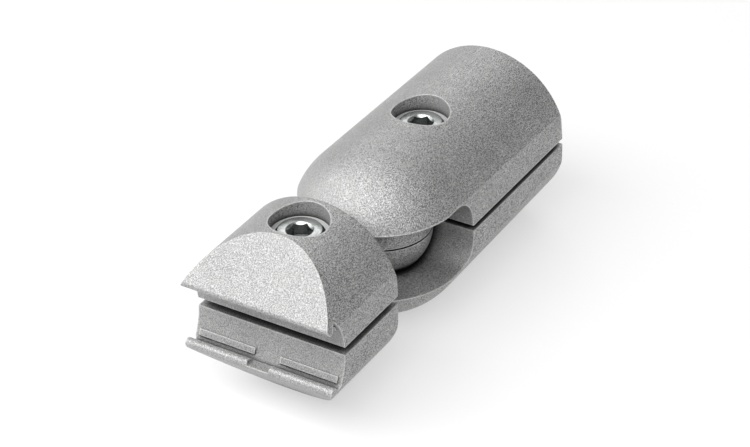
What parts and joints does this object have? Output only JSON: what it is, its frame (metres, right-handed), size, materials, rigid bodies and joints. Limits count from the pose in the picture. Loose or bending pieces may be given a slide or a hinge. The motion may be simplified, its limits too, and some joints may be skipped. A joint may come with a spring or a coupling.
{
  "type": "swivel ball connector",
  "caption": "Swivel ball connector for grooved profile tubes: a split clamping sleeve holds a split ball whose neck carries a two-part clamping saddle.",
  "frame": {"origin": "centre of the sleeve's mouth plane, on the tube's axis", "axes": "+X from the mouth through the ball to the saddle, +Z towards the screw heads, +Y to the left seen from the mouth"},
  "size_m": [0.1009, 0.0384, 0.041],
  "materials": {
    "die_cast": "matte, blasted",
    "nose_insert": "smooth, matte",
    "zinc_screw": "bright zinc plated"
  },
  "bodies": {
    "sleeve_base": {"sleeve_lower_shell": "die_cast", "groove_nose_left": "nose_insert", "groove_nose_right": "nose_insert"},
    "sleeve_top": {"sleeve_upper_shell": "die_cast"},
    "sleeve_bolt": {"sleeve_screw": "zinc_screw"},
    "saddle_base": {"saddle_lower_half": "die_cast"},
    "saddle_top": {"saddle_upper_half": "die_cast"},
    "saddle_bolt": {"saddle_screw": "zinc_screw"}
  },
  "joints": [
    {"name": "saddle_swing", "type": "hinge", "parent": "sleeve_base", "child": "saddle_base", "pos_m": [0.05, 0, 0], "axis": [0, 0, 1], "range_deg": [-90, 90]},
    {"name": "sleeve_clamp", "type": "slide", "parent": "sleeve_base", "child": "sleeve_top", "axis": [0, 0, 1], "range_m": [0, 0.002]},
    {"name": "sleeve_screw_turn", "type": "hinge", "parent": "sleeve_top", "child": "sleeve_bolt", "pos_m": [0.0324, 0, 0.017], "axis": [0, 0, 1], "range_deg": [0, 720]},
    {"name": "saddle_jaw", "type": "hinge", "parent": "saddle_base", "child": "saddle_top", "pos_m": [0.05, 0, 0], "axis": [0, -1, 0], "range_deg": [-1.2, 1.2]},
    {"name": "saddle_screw_turn", "type": "hinge", "parent": "saddle_top", "child": "saddle_bolt", "pos_m": [0.0824, 0, 0.017], "axis": [0, 0, 1], "range_deg": [-240, 240]}
  ],
  "couplings": [
    {"joint": "sleeve_screw_turn", "follows": "sleeve_clamp", "rad_per_m": 6283.2},
    {"joint": "saddle_jaw", "follows": "saddle_screw_turn", "ratio": 0.004912}
  ]
}
